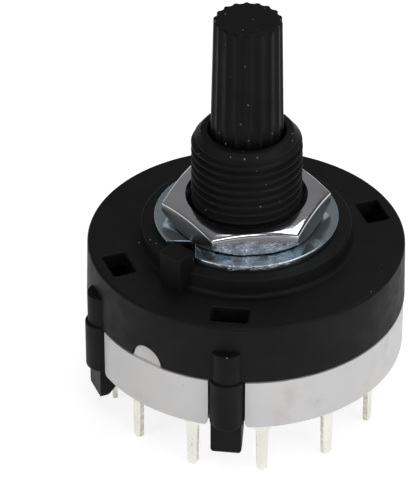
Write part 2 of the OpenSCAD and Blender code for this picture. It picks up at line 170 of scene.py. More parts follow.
# Detent ring, recess and slots for the stop ring, and the well for the rotor's rib
RIDGE_R = 8.95
HOLLOW_R = 2.2
HOLLOW_AT = 7.2
DETENT_R = 10.0
DETENT_Z = 11.0
STOP_SLOT_R = (5.9, 6.4)
STOP_SLOT_W = 1.3
STOP_RECESS_R = (4.6, 6.7)
STOP_RECESS_DEPTH = 0.5
RIB_WELL_R = (4.9, 7.3)
RIB_WELL_H = 1.1

# Nut and washer
NUT_AF = 12.0
NUT_T = 2.0
NUT_ANGLE = 44.5
NUT_BORE_R = 4.53
NUT_SINK = (0.4, 0.45)
NUT_FACE_R = 5.82
NUT_SLOPE = 20
NUT_EASE = 0.2
NUT_SEAT_EASE = 0.06
NUT_CORNER = 0.12
NUT_SEAT_R = 6.0
NUT_SEAT_SLOPE = 40
WASHER_R = 7.5
WASHER_T = 0.6
NOTCH_ANGLE = 262
NOTCH_POINT_R = 5.7
NOTCH_ROOT = 0.5
WASHER_EASE = 0.07
WASHER_GAP = 0.1

# Positions of the switch, and the degrees from one to the next
POSITIONS = 12
STEP = 30

# Terminals
TERMINAL_R = 11.0
FIRST_TERMINAL = 15
STRIP_T = 0.4
SHOULDER_W = 1.45
PAD_W = 2.2
PAD_END_R = 8.1
PAD_SEAT_Z = 9.85
COMMON_R = (3.4, 5.0)
COMMON_BLADE_R = 4.2
SEAT_GAP = 0.03
SLOT_H = 5.9
SLOT_Z = 4.0

# Rounding of the smallest moulded edges
FINE_EASE = 0.06

# Points round a turned shape, radius that counts as the axis, and distance at which points merge
ROUND = 192
ON_AXIS = 1e-6
MERGED = 1e-5


def polar(r, degrees, z=None):
    """Point at radius r and an angle, flat or at height z."""
    a = math.radians(degrees)
    point = (r * math.cos(a), r * math.sin(a))
    return point if z is None else point + (z,)


def arc(cx, cy, r, start, end, n=6):
    """Points on an arc, both ends included, angles in degrees."""
    turn = [math.radians(start + (end - start) * i / n) for i in range(n + 1)]
    return [(cx + r * math.cos(a), cy + r * math.sin(a)) for a in turn]


def sector(r0, r1, angle, half, n=24):
    """Outline of a stretch of ring between two radii, half degrees to each side of an angle."""
    start, end = angle - half, angle + half
    return arc(0, 0, r1, start, end, n) + arc(0, 0, r0, end, start, n)


def circle(cx, cy, r, n):
    """Closed outline of a circle."""
    return arc(cx, cy, r, 0, 360, n)[:-1]


def oblong(x0, x1, half_w):
    """Outline of a rectangle from x0 to x1, half_w to each side of the first axis."""
    return [(x0, -half_w), (x1, -half_w), (x1, half_w), (x0, half_w)]


def new_object(name, bm):
    """Turns a bmesh in millimetres into a linked object in metres."""
    bmesh.ops.remove_doubles(bm, verts=bm.verts, dist=MERGED)
    bmesh.ops.recalc_face_normals(bm, faces=bm.faces)
    bm.transform(Matrix.Scale(MM, 4))
    mesh = bpy.data.meshes.new(name)
    bm.to_mesh(mesh)
    bm.free()
    obj = bpy.data.objects.new(name, mesh)
    bpy.context.scene.collection.objects.link(obj)
    return obj


def ring(bm, steps, z, radius):
    """Ring of points at height z, given its radius as a function of the turn from 0 to 1."""
    return [bm.verts.new(polar(radius(i / steps), 360 * i / steps, z)) for i in range(steps)]


def round_ring(bm, steps, z, r):
    """Ring of points on a circle, or one point on the axis."""
    if r < ON_AXIS:
        return [bm.verts.new((0, 0, z))] * steps
    return ring(bm, steps, z, lambda turn: r)


def bridge(bm, rings, closed=True):
    """Joins each ring with the next by faces, and the last with the first where closed."""
    following = rings[1:] + rings[:1] if closed else rings[1:]
    for a, b in zip(rings, following):
        for i in range(len(a)):
            j = (i + 1) % len(a)
            corners = list(dict.fromkeys((a[i], a[j], b[j], b[i])))
            if len(corners) > 2:
                bm.faces.new(corners)


def lathe(name, outline, steps=ROUND):
    """Revolves a closed outline of (radius, height) points about the axis."""
    bm = bmesh.new()
    bridge(bm, [round_ring(bm, steps, z, r) for r, z in outline])
    return new_object(name, bm)


def loft(name, levels, place):
    """Solid through outlines of equally many points, each at its height, put in place."""
    bm = bmesh.new()
    rings = [[bm.verts.new((x, y, z)) for x, y in outline] for outline, z in levels]
    bm.faces.new(rings[0])
    bm.faces.new(rings[-1])
    bridge(bm, rings, closed=False)
    bm.transform(place)
    return new_object(name, bm)


def prism(name, outline, depth, place):
    """Extrudes a closed outline along its normal by depth and puts it in place."""
    return loft(name, [(outline, 0), (outline, depth)], place)


def turned(angle, x=0.0, z=0.0):
    """Placement at an angle about the axis, then moved within the turned frame."""
    return Matrix.Rotation(math.radians(angle), 4, "Z") @ Matrix.Translation((x, 0, z))


def slab_place(angle, width):
    """Placement that stands an outline of (radius, height) upright at an angle, width centred."""
    upright = Matrix(((1, 0, 0, 0), (0, 0, -1, width / 2), (0, 1, 0, 0), (0, 0, 0, 1)))
    return turned(angle) @ upright


def rim_place(angle, r):
    """Placement that stands an outline of (tangent, height) at radius r, its depth outwards."""
    return turned(angle) @ Matrix(((0, 0, 1, r), (1, 0, 0, 0), (0, 1, 0, 0), (0, 0, 0, 1)))


def bake_modifiers(obj):
    """Applies every modifier on an object."""
    depsgraph = bpy.context.evaluated_depsgraph_get()
    depsgraph.update()
    mesh = bpy.data.meshes.new_from_object(obj.evaluated_get(depsgraph))
    obj.modifiers.clear()
    old = obj.data
    obj.data = mesh
    bpy.data.meshes.remove(old)


def combine(target, tools, operation):
    """Joins tools to the target or cuts them from it, and deletes them.

    Each tool reaches a little past the faces it meets, so that no two lie in one plane.
    """
    for tool in tools:
        step = target.modifiers.new("step", "BOOLEAN")
        step.operation = operation
        step.solver = "MANIFOLD"
        step.object = tool
    bake_modifiers(target)
    for tool in tools:
        bpy.data.objects.remove(tool)
    return target


def ease_edges(obj, width, segments=2, angle=38):
    """Rounds an object's sharp edges a little, as a mould or a press leaves them."""
    bevel = obj.modifiers.new("eased", "BEVEL")
    bevel.width = width * MM
    bevel.segments = segments
    bevel.limit_method = "ANGLE"
    bevel.angle_limit = math.radians(angle)
    bevel.miter_outer = "MITER_ARC"
    bevel.use_clamp_overlap = True


def rounded_block(name, outline, depth, place, width, segments=3):
    """Prism with its sharp edges rounded."""
    block = prism(name, outline, depth, place)
    ease_edges(block, width, segments)
    bake_modifiers(block)
    return block


def soften(obj, angle=30):
    """Smooth shading, crisp where faces meet at more than the angle, with flat faces kept flat."""
    obj.data.shade_smooth()
    obj.data.set_sharp_from_angle(angle=math.radians(angle))
    even = obj.modifiers.new("even", "WEIGHTED_NORMAL")
    even.keep_sharp = True


def finish_piece(obj, material, body, slot, *nodes):
    """Gives a piece its material, the body it rides on and the nodes it stands for."""
    obj.data.materials.clear()
    obj.data.materials.append(material)
    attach(obj, body)
    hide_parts(*nodes)


# Materials

# Noise stays mostly within this part of 0 to 1
NOISE_SPAN = (0.3, 0.7)
DOWN = (0, 0, -1)

# Depth of the plastics' moulded grain, in millimetres
MOULD_GRAIN = 0.006

# Spacing and radius of specks in millimetres and, for metals, the share of cells with one
DUST_SPECKS = (0.9, 0.06)
STAIN_SPECKS = (0.7, 0.055)
TARNISH_SPECKS = (0.37, 0.07, 0.3)
# Spacing, radius and share of the painted glint specks in the frost
PAINTED_GLINT_SPECKS = (0.17, 0.05, 0.6)

# Frost on the side that faces the front corner, fading upwards: heights along DOWN are negative
FROST_ANGLE = 312
FROST_TOP = (-19.25, -18.7)
FROST_CELL = 0.1
FROST_DEPTH = 0.045
FROST_ROUGH = 0.14
FROST_COLOUR = (0.36, 0.39, 0.46)
# Near-white specks in the frost are painted glints
PAINTED_GLINT_COLOUR = (0.92, 0.94, 0.98)

# The nut's upright sides are rougher than its faces and painted darker as painted shade, and a
# painted shadow lies along its foot
FLANK_SHADE_COLOUR = (0.26, 0.265, 0.28)
FLANK_ROUGH = 0.3
FOOT_SHADOW_COLOUR = (0.03, 0.03, 0.035)
FOOT_SHADOW_BAND = (-17.95, -17.86)

# The terminals' edges are sheared through the tin, and their faces are spotted
SHEARED_COLOUR = (0.48, 0.47, 0.41)
TARNISH_COLOUR = (0.42, 0.41, 0.35)


def texture_space(tree):
    """Object coordinates, which stay with a piece as it moves."""
    return tree.nodes.new("ShaderNodeTexCoord").outputs["Object"]


def maths(tree, operation, first, second=None):
    """Result of an operation on an output and, where it takes two, an output or a number."""
    node = tree.nodes.new("ShaderNodeMath")
    node.operation = operation
    tree.links.new(first, node.inputs[0])
    if isinstance(second, float):
        node.inputs[1].default_value = second
    elif second is not None:
        tree.links.new(second, node.inputs[1])
    return node.outputs["Value"]


def vector_maths(tree, operation, first, second=None):
    """Node of a vector operation on an output and, mostly, a second output or a tuple."""
    node = tree.nodes.new("ShaderNodeVectorMath")
    node.operation = operation
    tree.links.new(first, node.inputs[0])
    if isinstance(second, tuple):
        node.inputs[1].default_value = second
    elif second is not None:
        tree.links.new(second, node.inputs[1])
    return node


def remap(tree, value, start, end, low=0.0, high=1.0, curve="LINEAR"):
    """Maps a stretch of a value onto another, and holds it level beyond."""
    node = tree.nodes.new("ShaderNodeMapRange")
    node.interpolation_type = curve
    node.inputs["From Min"].default_value = start
    node.inputs["From Max"].default_value = end
    node.inputs["To Min"].default_value = low
    node.inputs["To Max"].default_value = high
    tree.links.new(value, node.inputs["Value"])
    return node.outputs["Result"]


def noise(tree, space, size_mm, detail, stretch=None):
    """Noise with features about size_mm across, stretched along an axis where asked."""
    node = tree.nodes.new("ShaderNodeTexNoise")
    node.inputs["Scale"].default_value = 1 / (size_mm * MM)
    node.inputs["Detail"].default_value = detail
    if stretch:
        mapping = tree.nodes.new("ShaderNodeMapping")
        mapping.inputs["Scale"].default_value = stretch
        tree.links.new(space, mapping.inputs["Vector"])
        space = mapping.outputs["Vector"]
    tree.links.new(space, node.inputs["Vector"])
    return node.outputs["Fac"]


def cells(tree, space, size_mm):
    """Cell texture with cells about size_mm across. Returns the node."""
    node = tree.nodes.new("ShaderNodeTexVoronoi")
    node.inputs["Scale"].default_value = 1 / (size_mm * MM)
    tree.links.new(space, node.inputs["Vector"])
    return node


def spread(tree, value, low, high):
    """Maps noise onto a range."""
    return remap(tree, value, *NOISE_SPAN, low, high)


def two_tone(tree, value, first, second):
    """Blends two colours by a value."""
    node = tree.nodes.new("ShaderNodeMix")
    node.data_type = "RGBA"
    node.inputs["A"].default_value = (*first, 1)
    node.inputs["B"].default_value = (*second, 1)
    tree.links.new(value, node.inputs["Factor"])
    return node.outputs["Result"]


def blend(tree, factor, colour, second):
    """Blends a colour output towards a second colour by a factor output."""
    node = tree.nodes.new("ShaderNodeMix")
    node.data_type = "RGBA"
    node.inputs["B"].default_value = (*second, 1)
    tree.links.new(factor, node.inputs["Factor"])
    tree.links.new(colour, node.inputs["A"])
    return node.outputs["Result"]


def towards(tree, factor, value, second):
    """Blends a value output towards a number by a factor output."""
    node = tree.nodes.new("ShaderNodeMix")
    node.inputs["B"].default_value = second
    tree.links.new(factor, node.inputs["Factor"])
    tree.links.new(value, node.inputs["A"])
    return node.outputs["Result"]


def relief(tree, shader, heights):
    """Bumps in turn, each a (height output, strength, depth in mm)."""
    normal = None
    for height, strength, depth_mm in heights:
        node = tree.nodes.new("ShaderNodeBump")
        node.inputs["Strength"].default_value = strength
        node.inputs["Distance"].default_value = depth_mm * MM
        tree.links.new(height, node.inputs["Height"])
        if normal:
            tree.links.new(normal, node.inputs["Normal"])
        normal = node.outputs["Normal"]
    tree.links.new(normal, shader.inputs["Normal"])


def ruffled(tree, space, size_mm, reach_mm):
    """Space shifted about by noise, so that round marks come out ragged."""
    ruffle = tree.nodes.new("ShaderNodeTexNoise")
    ruffle.inputs["Scale"].default_value = 1 / (size_mm * MM)
    tree.links.new(space, ruffle.inputs["Vector"])
    reach = (reach_mm * MM,) * 3
    shift = vector_maths(tree, "MULTIPLY_ADD", ruffle.outputs["Color"], reach)
    tree.links.new(space, shift.inputs[2])
    return shift.outputs["Vector"]


def specks(tree, space, spacing_mm, radius_mm, share):
    """Mask of sparse ragged specks, one in some of the cells."""
    found = cells(tree, ruffled(tree, space, radius_mm, 3 * radius_mm), spacing_mm)
    near = maths(tree, "LESS_THAN", found.outputs["Distance"], radius_mm / spacing_mm)
    chosen = maths(tree, "LESS_THAN", found.outputs["Color"], share)
    return maths(tree, "MULTIPLY", near, chosen)


def ramp_along(tree, space, direction, low_mm, high_mm):
    """Rises from 0 to 1 between two distances along a direction."""
    reach = vector_maths(tree, "DOT_PRODUCT", space, direction)
    return remap(tree, reach.outputs["Value"], low_mm * MM, high_mm * MM)


def surface_normal(tree):
    """Normal of the surface, in the piece's own space."""
    return tree.nodes.new("ShaderNodeTexCoord").outputs["Normal"]


def flanks(tree):
    """Mask of the upright faces."""
    rise = vector_maths(tree, "DOT_PRODUCT", surface_normal(tree), (0, 0, 1))
    return remap(tree, maths(tree, "ABSOLUTE", rise.outputs["Value"]), 0.3, 0.1)


def sheared(tree, space):
    """Patchy mask of the faces that look neither towards the axis nor away from it."""
    level = vector_maths(tree, "MULTIPLY", space, (1, 1, 0))
    outwards = vector_maths(tree, "NORMALIZE", level.outputs["Vector"])
    facing = vector_maths(
        tree, "DOT_PRODUCT", outwards.outputs["Vector"], surface_normal(tree),
    )
    mask = remap(tree, maths(tree, "ABSOLUTE", facing.outputs["Value"]), 0.8, 0.4)
    return maths(tree, "MULTIPLY", mask, spread(tree, noise(tree, space, 0.4, 4.0), 0.2, 1.3))


def frosted_side(tree, space, low_mm, high_mm):
    """Patchy mask of the frosted side, which begins between two distances from the axis."""
    mask = ramp_along(tree, space, polar(1, FROST_ANGLE, 0), low_mm, high_mm)
    mask = maths(tree, "MULTIPLY", mask, ramp_along(tree, space, DOWN, *FROST_TOP))
    patches = spread(tree, noise(tree, space, 0.7, 5.0), -0.2, 1.4)
    return maths(tree, "MULTIPLY", mask, patches)


def new_material(name, tones, cloud_mm):
    """Node material with its tree, its shader, its texture space and a cloudy base colour."""
    material = bpy.data.materials.new(name)
    material.use_nodes = True
    tree = material.node_tree
    space = texture_space(tree)
    cloud = spread(tree, noise(tree, space, cloud_mm, 4.0), 0.0, 1.0)
    base = two_tone(tree, cloud, *tones)
    return material, tree, tree.nodes["Principled BSDF"], space, base


def plastic(name, tones, rough, grain_mm, specular, mark, mark_colour, speck_share):
    """Moulded plastic: fine spark-eroded grain, uneven gloss, and dust or stains."""
    material, tree, shader, space, base = new_material(name, tones, 4.0)
    if mark == "dust":
        spots = specks(tree, space, *DUST_SPECKS, speck_share)
    else:
        stain = remap(tree, noise(tree, space, 3.2, 6.0), 0.56, 0.72, 0.0, 0.3)
        base = blend(tree, stain, base, mark_colour)
        spots = specks(tree, space, *STAIN_SPECKS, speck_share)
    base = blend(tree, spots, base, mark_colour)
    tree.links.new(base, shader.inputs["Base Color"])
    patches = noise(tree, space, 1.6, 5.0)
    tree.links.new(spread(tree, patches, *rough), shader.inputs["Roughness"])
    shader.inputs["Specular IOR Level"].default_value = specular
    grain = noise(tree, space, grain_mm, 4.0)
    sink = noise(tree, space, 5.0, 1.0)
    relief(tree, shader, [(grain, 0.55, MOULD_GRAIN), (sink, 0.5, 0.02)])
    return material


def plated(
    name, tones, rough, grain_mm, grain_depth,
    stretch=None, frost_from=None, nut_sides=False, worn=False,
):
    """Plated metal: uneven gloss and fine grain, with frost and painted glints, duller sides with
    painted shade and a painted shadow at the foot, or wear, where asked.
    """
    material, tree, shader, space, base = new_material(name, tones, 2.2)
    grain = noise(tree, space, grain_mm, 6.0, stretch)
    gloss = spread(tree, grain, *rough)
    layers = [(grain, 0.6, grain_depth), (noise(tree, space, 1.4, 3.0), 0.5, 0.012)]
    if worn:
        base = blend(tree, sheared(tree, space), base, SHEARED_COLOUR)
        base = blend(tree, specks(tree, space, *TARNISH_SPECKS), base, TARNISH_COLOUR)
    if nut_sides:
        # Upright sides: rougher, and painted darker as painted shade
        dull_and_shaded = flanks(tree)
        base = blend(tree, dull_and_shaded, base, FLANK_SHADE_COLOUR)
        gloss = towards(tree, dull_and_shaded, gloss, FLANK_ROUGH)
    if frost_from:
        side = frosted_side(tree, space, *frost_from)
        base = blend(tree, side, base, FROST_COLOUR)
        # Near-white specks in the frost: painted glints
        painted_glints = maths(tree, "MULTIPLY", side, specks(tree, space, *PAINTED_GLINT_SPECKS))
        base = blend(tree, painted_glints, base, PAINTED_GLINT_COLOUR)
        gloss = towards(tree, side, gloss, FROST_ROUGH)
        crystals = cells(tree, space, FROST_CELL).outputs["Distance"]
        layers.append((maths(tree, "MULTIPLY", crystals, side), 1.0, FROST_DEPTH))
    # Painted shadow along the nut's foot, where it meets the washer
    if nut_sides:
        base = blend(tree, ramp_along(tree, space, DOWN, *FOOT_SHADOW_BAND), base, FOOT_SHADOW_COLOUR)
    tree.links.new(base, shader.inputs["Base Color"])
    tree.links.new(gloss, shader.inputs["Roughness"])
    shader.inputs["Metallic"].default_value = 1.0
    relief(tree, shader, layers)
    return material


BLACK_TONES = ((0.0046, 0.0046, 0.0048), (0.0068, 0.0068, 0.0070))
SHAFT_TONES = ((0.0026, 0.0026, 0.0028), (0.0040, 0.0040, 0.0042))
PALE_TONES = ((0.62, 0.612, 0.625), (0.67, 0.66, 0.65))
NICKEL_TONES = ((0.58, 0.585, 0.61), (0.68, 0.685, 0.71))
ZINC_TONES = ((0.36, 0.45, 0.49), (0.50, 0.58, 0.63))
TIN_TONES = ((0.74, 0.73, 0.67), (0.84, 0.83, 0.77))
BRONZE_TONES = ((0.58, 0.34, 0.19), (0.66, 0.40, 0.23))
STEEL_TONES = ((0.58, 0.58, 0.59), (0.66, 0.66, 0.67))
FAINT_DUST = (0.20, 0.20, 0.21)
DUST = (0.22, 0.22, 0.23)
STAIN = (0.42, 0.34, 0.30)

BLACK = plastic(
    "black_plastic", BLACK_TONES, (0.44, 0.60), 0.10, 0.11, "dust", FAINT_DUST, 0.24,
)
DUSTY_BLACK = plastic(
    "dusty_black_plastic", BLACK_TONES, (0.44, 0.60), 0.10, 0.11, "dust", DUST, 0.9,
)
SHAFT_BLACK = plastic(
    "shaft_black", SHAFT_TONES, (0.38, 0.52), 0.12, 0.10, "dust", DUST, 0.8,
)
PALE = plastic("pale_plastic", PALE_TONES, (0.34, 0.48), 0.14, 0.5, "stain", STAIN, 0.5)
NICKEL = plated(
    "nickel_plate", NICKEL_TONES, (0.10, 0.20), 0.2, 0.002,
    frost_from=(5.6, 5.95), nut_sides=True,
)
ZINC = plated("zinc_plate", ZINC_TONES, (0.14, 0.26), 0.2, 0.002, frost_from=(6.6, 7.4))
TIN = plated("tin_plate", TIN_TONES, (0.24, 0.4), 0.18, 0.008, worn=True)
BRONZE = plated("bronze_strip", BRONZE_TONES, (0.26, 0.4), 0.2, 0.006, stretch=(1, 6, 1))
STEEL = plated("bright_steel", STEEL_TONES, (0.12, 0.22), 0.3, 0.003)


# Cover

def cover_profile():
    """Half section of the cover below its bushing."""
    recess_z, well_z = PLATFORM_Z - STOP_RECESS_DEPTH, CEILING_Z + RIB_WELL_H
    return (
        [(CAVITY_R, RIM_Z)]
        + arc(RIM_R - RIM_EASE, RIM_Z + RIM_EASE, RIM_EASE, -90, 0, 3)
        + arc(BODY_R - TOP_EASE, TOP_Z - TOP_EASE, TOP_EASE, 0, 90, 6)
        + arc(PLATFORM_FOOT_R, TOP_Z + PLATFORM_FILLET, PLATFORM_FILLET, 270, 180, 6)
        + arc(PLATFORM_R - PLATFORM_EASE, PLATFORM_Z - PLATFORM_EASE, PLATFORM_EASE, 0, 90, 4)
        + [(STOP_RECESS_R[1], PLATFORM_Z), (STOP_RECESS_R[1], recess_z)]
        + [(STOP_RECESS_R[0], recess_z), (STOP_RECESS_R[0], PLATFORM_Z)]
        + [(BORE_R, PLATFORM_Z), (BORE_R, CEILING_Z)]
        + [(RIB_WELL_R[0], CEILING_Z), (RIB_WELL_R[0], well_z)]
        + [(RIB_WELL_R[1], well_z), (RIB_WELL_R[1], CEILING_Z), (CAVITY_R, CEILING_Z)]
    )


def leg_outline():
    """Flat section of a leg beside the base: square inside, half-round outside."""
    return [(LEG_INNER, -LEG_R)] + arc(LEG_AT, 0, LEG_R, -90, 90, 20) + [(LEG_INNER, LEG_R)]


def tip_outline():
    """Side view of a leg's flat tip and its barb."""
    top, barb_top, inner = COLUMN_END_Z + LEG_OVERLAP, BASE_Z - 0.05, LEG_INNER + 0.1
    return (
        [(TIP_OUTER, top)]
        + arc(TIP_OUTER - TIP_EASE, LEG_TIP_Z + TIP_EASE, TIP_EASE, 0, -90, 4)
        + [(TIP_OUTER - TIP_LAND, LEG_TIP_Z), (BARB_R, LEG_TIP_Z + TIP_RISE)]
        + [(BARB_R, barb_top), (inner, barb_top), (inner, top)]
    )


def leg_tip(angle):
    """Flat tip of a leg with its barb, its two lower corners rounded."""
    tip = prism("tip", tip_outline(), TIP_W, slab_place(angle, TIP_W))
    half, foot, top = TIP_W / 2 + 0.02, LEG_TIP_Z - 0.01, COLUMN_END_Z + 1
    front = (
        arc(half - TIP_CORNER, foot + TIP_CORNER, TIP_CORNER, 270, 360, 6)
        + [(half, top), (-half, top)]
        + arc(TIP_CORNER - half, foot + TIP_CORNER, TIP_CORNER, 180, 270, 6)
    )
    combine(tip, [prism("front", front, 4.0, rim_place(angle, BARB_R - 1))], "INTERSECT")
    ease_edges(tip, FINE_EASE, 3)
    bake_modifiers(tip)
    return tip


def window_outline(grow):
    """Window seen from above, grown by a margin, with rounded corners."""
    x0, x1 = WINDOW[0] - grow, WINDOW[1] + grow
    half, r = WINDOW_W / 2 + grow, WINDOW_CORNER + grow
    middles = ((x1 - r, half - r), (x0 + r, half - r), (x0 + r, r - half), (x1 - r, r - half))
    outline = []
    for quarter, (x, y) in enumerate(middles):
        outline += arc(x, y, r, 90 * quarter, 90 * quarter + 90, 4)
    return outline


def window_cutter(angle):
    """Tool for a window through the cover's top, its corners and its mouth rounded."""
    levels = [(window_outline(0.0), CEILING_Z - 0.5)]
    for i in range(6):
        t = math.radians(18 * i)
        outline = window_outline(WINDOW_EASE * (1 - math.cos(t)))
        levels.append((outline, TOP_Z - WINDOW_EASE * (1 - math.sin(t))))
    levels.append((window_outline(WINDOW_EASE), TOP_Z + 0.1))
    return loft("window", levels, turned(angle))


def make_leg(angle):
    """Leg of the cover from the column beside its housing down to the barbed tip."""
    height = LEG_TOP_Z - COLUMN_END_Z
    leg = rounded_block("leg", leg_outline(), height, turned(angle, z=COLUMN_END_Z), LEG_EASE)
    column = arc(COLUMN_AT, 0, COLUMN_R, -90, 90, 32)
    height = COLUMN_TOP_Z - RIM_Z + COLUMN_OVERLAP
    place = turned(angle, z=RIM_Z - COLUMN_OVERLAP)
    upper = rounded_block("column", column, height, place, COLUMN_EASE, 4)
    return combine(leg, [upper, leg_tip(angle)], "UNION")


def hollow_radius(degrees):
    """Inner radius of the detent ring, with a hollow for each position."""
    off = math.radians((degrees - BALL_ANGLE + STEP / 2) % STEP - STEP / 2)
    aside = HOLLOW_AT * math.sin(off)
    return max(RIDGE_R, HOLLOW_AT * math.cos(off) + math.sqrt(HOLLOW_R ** 2 - aside ** 2))


def detent_ring():
    """Ring under the cover's top that the balls click into."""
    bm = bmesh.new()
    steps, high = 360, CEILING_Z + 0.05
    inner = [ring(bm, steps, z, lambda turn: hollow_radius(360 * turn)) for z in (DETENT_Z, high)]
    outer = [round_ring(bm, steps, z, DETENT_R) for z in (high, DETENT_Z)]
    bridge(bm, inner + outer)
    return new_object("detent_ring", bm)


def make_cover():
    """Cover's housing, with its lug, columns, legs, windows and key notch."""
    shell = lathe("cover_shell", cover_profile())
    lug = oblong(*LUG_REACH, LUG_W / 2)
    place = turned(LUG_ANGLE, z=LUG_ROOT_Z)
    adds = [detent_ring(), rounded_block("lug", lug, LUG_Z - LUG_ROOT_Z, place, LUG_EASE, 4)]
    adds += [make_leg(a) for a in LEG_ANGLES]
    combine(shell, adds, "UNION")
    cuts = [window_cutter(a) for a in LEG_ANGLES]
    notch = circle(0, SEAM_Z, KEY_R + KEY_GAP, 48)
    cuts.append(prism("key_notch", notch, 3.0, rim_place(KEY_ANGLE, CAVITY_R - 0.5)))
    slot = oblong(*STOP_SLOT_R, STOP_SLOT_W / 2)
    for i in range(POSITIONS):
        cuts.append(prism("stop_slot", slot, 2.0, turned(STEP * i, z=CEILING_Z + 0.9)))
    combine(shell, cuts, "DIFFERENCE")
    soften(shell)
    finish_piece(shell, BLACK, "housing", "black_pbt", "cover")


def thread_radius(turn, z):
    """Radius of the bushing's surface: a V thread, run out under the tapered lead."""
    phase = (z / THREAD_PITCH - turn) % 1.0
    ridge = abs(2 * phase - 1)
    flank = min(1.0, max(0.0, (ridge - THREAD_CREST) / THREAD_FLANK))
    smooth = THREAD_SOFT * flank * flank * (3 - 2 * flank)
    flank = (1 - THREAD_SOFT) * flank + smooth
    lead = BUSHING_R + (LEAD_R - BUSHING_R) * max(0.0, z - LEAD_Z) / (BUSHING_Z - LEAD_Z)
    return min(BUSHING_R - THREAD_DEPTH * flank, lead)


def make_bushing():
    """Threaded bushing of the cover, a tube with a true helical thread."""
    steps, rows = 180, 190
    foot = PLATFORM_Z - 0.02
    bm = bmesh.new()
    rings = []
    for i in range(rows + 1):
        z = foot + (BUSHING_Z - LEAD_EASE - foot) * i / rows
        rings.append(ring(bm, steps, z, lambda turn: thread_radius(turn, z)))
    mouth = arc(MOUTH_R + MOUTH_EASE, BUSHING_Z - MOUTH_EASE, MOUTH_EASE, 90, 180, 6)
    inner = [(LEAD_R - LEAD_EASE / 2, BUSHING_Z - LEAD_EASE / 6)] + mouth
    inner += [(MOUTH_R, MOUTH_Z), (BORE_R, MOUTH_Z), (BORE_R, foot)]
    rings += [round_ring(bm, steps, z, r) for r, z in inner]
    bridge(bm, rings)
    tube = new_object("cover_bushing", bm)
    soften(tube, 50)
    finish_piece(tube, DUSTY_BLACK, "housing", "black_pbt", "cover")


# Base

def base_profile():
    """Half section of the base."""
    inset_z, rebate_z, spigot_z = BASE_Z + UNDERSIDE_DEPTH, SEAM_Z - SEAM_REBATE, SEAM_Z + SPIGOT_H
    inner, outer = SPIGOT_R
    return (
        [(0, inset_z), (UNDERSIDE_R[0], inset_z), (UNDERSIDE_R[1], BASE_Z)]
        + arc(BAND_R - BAND_EASE, BASE_Z + BAND_EASE, BAND_EASE, 270, 360, 5)
        + [(BAND_R, rebate_z - BAND_LIP), (BAND_R - BAND_LIP, rebate_z)]
        + [(SEAM_REBATE_R, rebate_z), (SEAM_REBATE_R, SEAM_Z)]
        + [(outer, SEAM_Z), (outer, spigot_z - SPIGOT_LEAD), (outer - SPIGOT_LEAD, spigot_z)]
        + [(inner, spigot_z), (inner, FLOOR_Z)]
        + [(PIVOT_HOLE_R, FLOOR_Z), (PIVOT_HOLE_R, PIVOT_HOLE_Z), (0, PIVOT_HOLE_Z)]
    )


def way_outline():
    """Way for a leg through the band, flared at its lower corners."""
    half, top = LEG_R + WAY_GAP, SEAM_Z + 2
    wide, corner_z = half + WAY_CORNER, BASE_Z + WAY_CORNER
    left = arc(-wide, corner_z, WAY_CORNER, -90, 0, 6)
    right = arc(wide, corner_z, WAY_CORNER, 180, 270, 6)
    return (
        [(-wide, BASE_Z - 1)] + left + [(-half, top), (half, top)] + right
        + [(wide, BASE_Z - 1)]
    )


def seam_cutter():
    """Tool for the fine groove in the key at the height of the seam."""
    low, high = SEAM_Z - SEAM_REBATE - 0.01, SEAM_Z - SEAM_REBATE + 0.05
    inner, outer = SEAM_REBATE_R - 0.1, BODY_R + 1
    return lathe("seam_line", [(inner, low), (outer, low), (outer, high), (inner, high)])


def terminal_cutters():
    """Tools for the slots and seats of the terminals, and for the common ring's."""
    half_w, half_t = SHOULDER_W / 2 + SEAT_GAP, STRIP_T / 2 + SEAT_GAP
    slot = oblong(-half_t, half_t, half_w)
    seat_r = PAD_W / 2 + SEAT_GAP
    end = TERMINAL_R + half_t + 0.02
    seat = arc(PAD_END_R, 0, seat_r, 90, 270, 16) + [(end, -seat_r), (end, seat_r)]
    cuts = []
    for i in range(POSITIONS):
        angle = FIRST_TERMINAL + STEP * i
        cuts.append(prism("slot", slot, SLOT_H, turned(angle, x=TERMINAL_R, z=SLOT_Z)))
        cuts.append(prism("seat", seat, STRIP_T, turned(angle, z=PAD_SEAT_Z)))
    cuts.append(prism("slot", slot, SLOT_H, turned(0, x=COMMON_BLADE_R, z=SLOT_Z)))
    low, high = PAD_SEAT_Z, PAD_SEAT_Z + STRIP_T
    r0, r1 = COMMON_R[0] - SEAT_GAP, COMMON_R[1] + SEAT_GAP
    cuts.append(lathe("common_seat", [(r0, low), (r1, low), (r1, high), (r0, high)], 96))
    return cuts


def make_base():
    """Base with its key, the ways for the legs and the terminals' slots."""
    base = lathe("base_moulding", base_profile())
    outline, place = circle(0, SEAM_Z, KEY_R, 48), rim_place(KEY_ANGLE, KEY_ROOT_R)
    key = rounded_block("key", outline, KEY_FACE_R - KEY_ROOT_R, place, FINE_EASE)
    combine(base, [key], "UNION")
    cuts = [seam_cutter()]
    for a in LEG_ANGLES:
        cuts.append(prism("way", way_outline(), 3.0, rim_place(a, CAVITY_R)))
        gap = sector(*SPIGOT_GAP_R, a, SPIGOT_GAP_HALF)
        cuts.append(prism("gap", gap, SPIGOT_H + 0.2, turned(0, z=SEAM_Z)))
    combine(base, cuts + terminal_cutters(), "DIFFERENCE")
    soften(base)
    finish_piece(base, PALE, "housing", "pale_nylon", "base")


# Shaft and rotor

